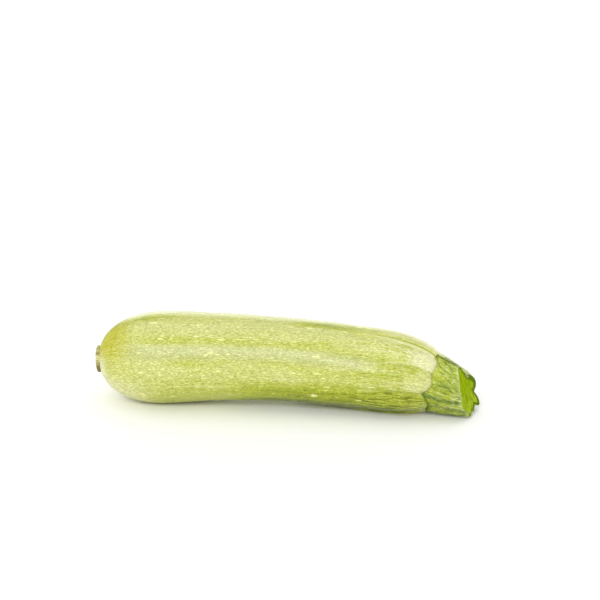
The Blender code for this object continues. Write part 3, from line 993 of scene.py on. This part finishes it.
def flesh_material():
    """Wet, open cells: a darker rind, paler clouds, upright fibres, and veins that fade to the middle."""
    made, tree, shader = new_material(
        "Fresh cut flesh", Roughness=0.5, IOR=1.34, Subsurface_Weight=0.15, Subsurface_Scale=0.002
    )
    shader.inputs["Specular IOR Level"].default_value = 0.0
    place = add(tree, "ShaderNodeTexCoord", {})["Object"]
    words = ("inset", "ridge", "behind", "rolled")
    mask = {word: add(tree, ATTRIBUTE, {}, attribute_name=word)["Fac"] for word in words}
    # Scales are per metre: cells of 1.1 mm, clouds of 4.5 mm, and fibres 1.4 mm wide and 6.7 mm high.
    cells = add(tree, "ShaderNodeTexNoise", {"Vector": place, "Scale": 900.0, "Detail": 3.0})[0]
    cloud = add(tree, "ShaderNodeTexNoise", {"Vector": place, "Scale": 220.0, "Detail": 2.0})[0]
    upright = add(tree, "ShaderNodeMapping", {"Vector": place, "Scale": (700.0, 700.0, 150.0)})[0]
    fibre = add(tree, "ShaderNodeTexNoise", {"Vector": upright, "Scale": 1.0, "Detail": 2.0})[0]

    # The rind's inner edge is wavy, and at the back there is hardly anything inside it.
    wavy = add(tree, MATH, {0: cloud, 1: 1.2, 2: mask["inset"]}, operation="MULTIPLY_ADD")[0]
    wavy = add(tree, MATH, {0: mask["behind"], 1: -3.2, 2: wavy}, operation="MULTIPLY_ADD")[0]
    ends = {"Value": wavy, "From Min": -0.2, "From Max": 1.0}
    inside = add(tree, RANGE, ends, interpolation_type="SMOOTHSTEP")[0]
    fibre = add(tree, RANGE, {"Value": fibre, "From Min": 0.52, "From Max": 0.36, "To Max": 0.75})[0]
    torn = add(tree, MATH, {0: cells, 1: 1.6, 2: mask["rolled"]}, operation="MULTIPLY_ADD")[0]
    torn = add(tree, RANGE, {"Value": torn, "From Min": 1.55, "From Max": 2.05})[0]
    height = add(tree, "ShaderNodeSeparateXYZ", {"Vector": place})["Z"]
    ends = {"Value": height, "From Min": LOW_PALE_TOP, "From Max": LOW_PALE_BOTTOM, "To Max": 0.5}
    low = add(tree, RANGE, ends)[0]
    paler = add(tree, RANGE, {"Value": cloud, "From Min": 0.45, "From Max": 0.65, "To Max": 0.6})[0]
    vein = add(tree, MATH, {0: mask["ridge"], 1: cells}, operation="MULTIPLY")[0]
    vein = add(tree, MATH, {0: vein, 1: 0.4}, operation="MULTIPLY")[0]
    low, paler, vein = (
        add(tree, MATH, {0: inside, 1: part}, operation="MULTIPLY")[0] for part in (low, paler, vein)
    )
    layers = (
        (inside, "#8ca506"),
        (paler, "#9cb11a"),
        (low, "#adbd3a"),
        (fibre, "#728a08"),
        (vein, "#b4c648"),
        (torn, "#b6c280"),
    )
    tint = painted(tree, colour("#5a6e1c"), layers)
    tint = speckled(tree, tint, cells, 0.88, 1.1)
    dress(tree, shader, tint, cells, 0.1 * MM)
    return made


stalk.data.materials.append(flesh_material())
print("cut flesh:", len(stalk.data.materials[1].node_tree.nodes), "nodes")

# %% The faces of the cut
face_rows = np.repeat(np.arange(len(stalk_rings) - 1), STALK_AROUND)
is_cut = np.append(face_rows > WALL_END, [False] * STALK_AROUND + [True] * STALK_AROUND)
stalk.data.polygons.foreach_set("material_index", is_cut.astype(np.int32))
print("faces of the cut:", int(is_cut.sum()))

# %% [markdown]
# ## Bristles
#
# A stalk of this kind is set with short stiff hairs. Each is a thin three-sided spike, rooted in the skin
# and leaning a little, so the outline of the stalk is fuzzy close up. Hair curves would be finer, but a
# mesh can be kept with the model. The hairs are dry and pale, and let a little light through.

# %% Bristles on the stalk
BRISTLES = 1500
BRISTLE_LENGTH = (0.35 * MM, 0.95 * MM)
BRISTLE_WIDTH = 0.05 * MM
BRISTLE_LEAN = 0.35  # as the tangent of the usual angle
ROOT_DEPTH = 0.1 * MM
BARE_RINGS = 8  # of the wall, next to the collar


def bristles(wall, seed=11):
    """Spikes from random points of a grid, no two from the same one: three corners round each root, and a
    tip out along a leaning normal."""
    rng = np.random.default_rng(seed)
    spot = rng.choice((wall.shape[0] - 2) * wall.shape[1], BRISTLES, replace=False)
    row, column = spot // wall.shape[1] + 1, spot % wall.shape[1]
    root = wall[row, column]
    lengthwise = unit(wall[row + 1, column] - wall[row - 1, column])
    sideways = unit(wall[row, (column + 1) % wall.shape[1]] - wall[row, column - 1])
    outward = unit(np.cross(sideways, lengthwise))
    lean = rng.normal(0, BRISTLE_LEAN, (BRISTLES, 2))
    tip = unit(outward + lean[:, :1] * lengthwise + lean[:, 1:] * sideways)
    length = rng.uniform(*BRISTLE_LENGTH, (BRISTLES, 1))
    foot = root - ROOT_DEPTH * outward
    turns = np.arange(3) * TURN / 3
    base = [foot + BRISTLE_WIDTH * (np.cos(t) * lengthwise + np.sin(t) * sideways) for t in turns]
    points = np.stack(base + [root + length * tip], axis=1).reshape(-1, 3)
    first = np.arange(BRISTLES)[:, None] * 4
    faces = [first + np.array(corner) for corner in ((1, 0, 3), (2, 1, 3), (0, 2, 3), (0, 1, 2))]
    return points, np.concatenate(faces)


points, faces = bristles(stalk_rings[WALL_START + BARE_RINGS : WALL_END])
hairs = new_piece("stalk_bristles", points.tolist(), faces.tolist())
hair_finish, _, _ = new_material(
    "Dry plant hair", Base_Color=colour("#d5dcb0"), Roughness=0.5, IOR=1.5, Transmission_Weight=0.2
)
hairs.data.materials.append(hair_finish)
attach(hairs, "root")
print("bristles:", BRISTLES)

# %% [markdown]
# ## The blossom scar
#
# The flower stood on the other end and dropped, and its base dried to a cork disc with a fluted rim,
# darker below than in front. It is a turned profile whose radius is pulled in at each flute. The face is
# dished and crumbly, with a small ring where the style stood. Dry cork is matt.

# %% The scar's dimensions
SCAR_AROUND, SCAR_STEPS = 240, 90
FLUTES, FLUTE_DEPTH = 31, 0.22 * MM
FLUTE_MARKS, SHALLOWEST = 40, 0.3  # places round the rim that draw a share of the depth, and the least one
UNEVEN = ((0.12, 3, 1), (0.07, 7, 0))  # how far the flutes' angles sway, how many times, and from where
CRUMB_HEIGHT, CRUMB_SIZE = 0.10 * MM, 1.2 * MM
RIM_CRUMBS = 0.4  # how high they are on the rim, as a share of that
RIM_START, RIM_FULL = 3.8 * MM, 5.6 * MM  # where the face turns into the rim
STYLE_RADIUS, STYLE_HEIGHT, STYLE_WIDTH = 1.6 * MM, 0.35 * MM, 0.45 * MM
DARK_SIDE_ANGLE, DARK_SIDE_WIDTH = np.radians(222), np.radians(40)  # the side that is darker, below
PALE_SIDE_ANGLE, PALE_SIDE_WIDTH = np.radians(163), np.radians(18)  # and the side that is paler, in front
SCAR_PATTERN_RADIUS = 6  # of the circle that patterns read, in mm

# The profile from the middle of the face, over the rim and down the side: radius and height in mm.
SCAR_PROFILE_RADII = np.array([0.3, 1.2, 2.6, 3.9, 4.8, 5.5, 5.95, 6.1, 6.12, 6.05, 5.95, 5.85])
SCAR_PROFILE_HEIGHTS = np.array([1.1, 1.12, 1.1, 1.2, 1.5, 1.68, 1.64, 1.4, 1.0, 0.6, 0.1, -0.25])
print("the scar is", 2 * SCAR_PROFILE_RADII.max(), "mm across")


# %% Scar
def scar_grid():
    """Rings of the profile round the axis, with flutes in the rim, and crumbs and a ring on the face."""
    rng = np.random.default_rng(21)
    knots = np.arange(len(SCAR_PROFILE_RADII), dtype=float)
    steps = np.linspace(0, knots[-1], SCAR_STEPS)[:, None]
    radius = MM * smooth(steps, knots, SCAR_PROFILE_RADII)
    height = MM * smooth(steps, knots, SCAR_PROFILE_HEIGHTS)
    angle = np.linspace(0, TURN, SCAR_AROUND, endpoint=False)
    depths = rng.uniform(SHALLOWEST, 1.0, FLUTE_MARKS)
    deep = np.interp(angle, np.linspace(0, TURN, FLUTE_MARKS), depths)
    uneven = angle + sum(sway * np.sin(times * angle + phase) for sway, times, phase in UNEVEN)
    flute = deep * (1 - np.abs(np.sin(uneven * FLUTES / 2)))
    radius, height, angle = np.broadcast_arrays(radius, height, angle)
    outside = ease(radius, RIM_START, RIM_FULL)
    style = STYLE_HEIGHT * np.exp(-(((radius - STYLE_RADIUS) / STYLE_WIDTH) ** 2))
    plain = np.stack([radius * np.cos(angle), radius * np.sin(angle), height], axis=-1)
    crumbs = CRUMB_HEIGHT * ripples(plain, CRUMB_SIZE, seed=22, count=40)
    masks = {
        "flute": flute * outside,
        "outside": outside,
        "darker_below": bell(angle, DARK_SIDE_ANGLE, DARK_SIDE_WIDTH, 4),
        "paler_in_front": bell(angle, PALE_SIDE_ANGLE, PALE_SIDE_WIDTH, 4) * outside,
    }
    radius = radius - FLUTE_DEPTH * flute * outside + RIM_CRUMBS * crumbs * outside
    height = height + style + crumbs * (1 - outside)
    circle = SCAR_PATTERN_RADIUS * np.stack([np.cos(angle), np.sin(angle)], axis=-1)
    straight = np.concatenate([radius[..., None] / MM, circle], axis=-1)
    along, _, _ = axis_frame(np.array(TIP_STATION))
    points = around_axis(np.array(TIP_STATION), radius, angle) - (GAP + height)[..., None] * along
    return points, straight, masks


scar_rings, scar_straight, scar_masks = scar_grid()
scar_poles = scar_rings[0].mean(0), scar_rings[-1].mean(0)
scar = closed_piece("blossom_scar_cork", scar_rings, scar_straight, scar_masks, *scar_poles)
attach(scar, "root")
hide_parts("blossom_scar")
print("scar:", len(scar.data.polygons), "faces")


# %% Scar cork
def cork_material():
    """Dry, crumbly tissue: paler on the rim than on the face, and dark in the flutes and in blotches."""
    made, tree, shader = new_material("Dry brown cork", Roughness=0.8, IOR=1.45)
    place = add(tree, ATTRIBUTE, {}, attribute_name="straight")["Vector"]
    mask = {word: add(tree, ATTRIBUTE, {}, attribute_name=word)["Fac"] for word in scar_masks}
    blotch = stretched(tree, place, 2.0, 2.0, Detail=3.0)
    darker_below = add(tree, MATH, {0: mask["darker_below"], 1: 0.85}, operation="MULTIPLY")[0]
    dark = add(tree, RANGE, {"Value": blotch, "From Min": 0.50, "From Max": 0.58, "To Max": 0.6})[0]
    dark = add(tree, MATH, {0: dark, 1: mask["flute"]}, operation="MAXIMUM")[0]
    layers = (
        (mask["outside"], "#c6c082"),
        (darker_below, "#6f673c"),
        (mask["paler_in_front"], "#ded99a"),
        (dark, "#5d5423"),
    )
    dress(tree, shader, painted(tree, colour("#8a7a44"), layers), blotch, 0.3 * MM)
    return made


scar.data.materials.append(cork_material())
print("cork:", len(scar.data.materials[0].node_tree.nodes), "nodes")

# %% [markdown]
# ## The studio
#
# The fruit lies on a white floor in a white room, and the floor ends where the lights no longer keep it as
# white as the room. A bright backdrop low behind the fruit gives the pale line along the top edge, where
# the skin is seen at a glancing angle. A broad soft light in front and above gives the low highlight along
# the side. Between the two the room is darker, so that the skin keeps its colour there.

# %% Floor
FLOOR_HALF = 3.0  # in metres

corners = [(x * FLOOR_HALF, y * FLOOR_HALF, 0) for x, y in ((-1, -1), (1, -1), (1, 1), (-1, 1))]
floor = new_piece("floor", corners, [(0, 1, 2, 3)])
# Matt paper gives a soft white without a highlight.
paper, _, paper_shader = new_material("White paper floor", Base_Color=colour("#fafaf9"), Roughness=0.9)
paper_shader.inputs["Specular IOR Level"].default_value = 0.1
floor.data.materials.append(paper)
print("the floor is", 2 * FLOOR_HALF, "m wide")

# %% Lights and room
# Each light's place, what it points at, its width and height, and its radiance.
LIGHTS = {
    "backdrop": ((0, 4.0, 1.3), (0, 0, 1.3), 10.0, 2.6, 1.2),
    "softbox": ((-0.55, -3.25, 2.4), (0, 0, 0), 3.0, 1.45, 6.0),
}
# The room's glow, by a direction's height: from the horizon up to the darker part, and from there up.
LOW_GLOW = {"From Min": 0.25, "From Max": 0.55, "To Min": 1.0, "To Max": 0.5}
HIGH_GLOW = {"From Min": 0.6, "From Max": 0.9, "To Min": 0.5, "To Max": 1.05}


def area_light(name, place, target, width, height, radiance):
    """A rectangle whose power is pi times its area times its radiance."""
    light = bpy.data.lights.new(name, "AREA")
    light.shape = "RECTANGLE"
    light.size, light.size_y = width, height
    light.energy = radiance * np.pi * width * height
    made = bpy.data.objects.new(name, light)
    made.location = place
    made.rotation_euler = (Vector(target) - Vector(place)).to_track_quat("-Z", "Y").to_euler()
    made.visible_camera = False
    bpy.context.scene.collection.objects.link(made)


def build_room():
    """A world that is bright at the horizon and overhead, and darker between, by a direction's height."""
    world = bpy.data.worlds.new("studio")
    bpy.context.scene.world = world
    world.use_nodes = True
    tree = world.node_tree
    direction = add(tree, "ShaderNodeTexCoord", {})["Generated"]
    height = add(tree, "ShaderNodeSeparateXYZ", {"Vector": direction})["Z"]
    below, above = (
        add(tree, RANGE, {"Value": height, **glow}, interpolation_type="SMOOTHSTEP")[0]
        for glow in (LOW_GLOW, HIGH_GLOW)
    )
    glow = add(tree, MATH, {0: below, 1: above}, operation="MAXIMUM")[0]
    tree.links.new(glow, tree.nodes["Background"].inputs["Strength"])
    tree.nodes["Background"].inputs["Color"].default_value = (1, 1, 1, 1)


build_room()
for name, settings in LIGHTS.items():
    area_light(name, *settings)
print("lights:", *LIGHTS)

# %% [markdown]
# ## The camera
#
# The picture was taken from a little above, and a little to the stalk's side. The length of the fruit on
# the picture, taken as its real length, sets how far away the camera is.

# %% Camera
LENS, SENSOR = 85.0, 36.0
NEAR, FAR = 0.01, 50
CAMERA_DISTANCE = 623.3 * MM
CAMERA_HEIGHT_ANGLE, CAMERA_SIDE_ANGLE = np.radians(17), np.radians(8)
LOOK_AT = Vector((6.20 * MM, -0.22 * MM, 49.71 * MM))


def build_camera():
    """A camera at LOOK_AT plus its distance along the direction that the two angles give."""
    data = bpy.data.cameras.new("camera")
    data.lens, data.sensor_width = LENS, SENSOR
    data.clip_start, data.clip_end = NEAR, FAR
    camera = bpy.data.objects.new("camera", data)
    level, up = np.cos(CAMERA_HEIGHT_ANGLE), np.sin(CAMERA_HEIGHT_ANGLE)
    back = Vector((np.sin(CAMERA_SIDE_ANGLE) * level, -np.cos(CAMERA_SIDE_ANGLE) * level, up))
    camera.location = LOOK_AT + CAMERA_DISTANCE * back
    camera.rotation_euler = (-back).to_track_quat("-Z", "Y").to_euler()
    bpy.context.scene.collection.objects.link(camera)
    bpy.context.scene.camera = camera


build_camera()
bpy.context.scene.view_settings.view_transform = "Standard"
print("camera at:", tuple(bpy.context.scene.camera.location))
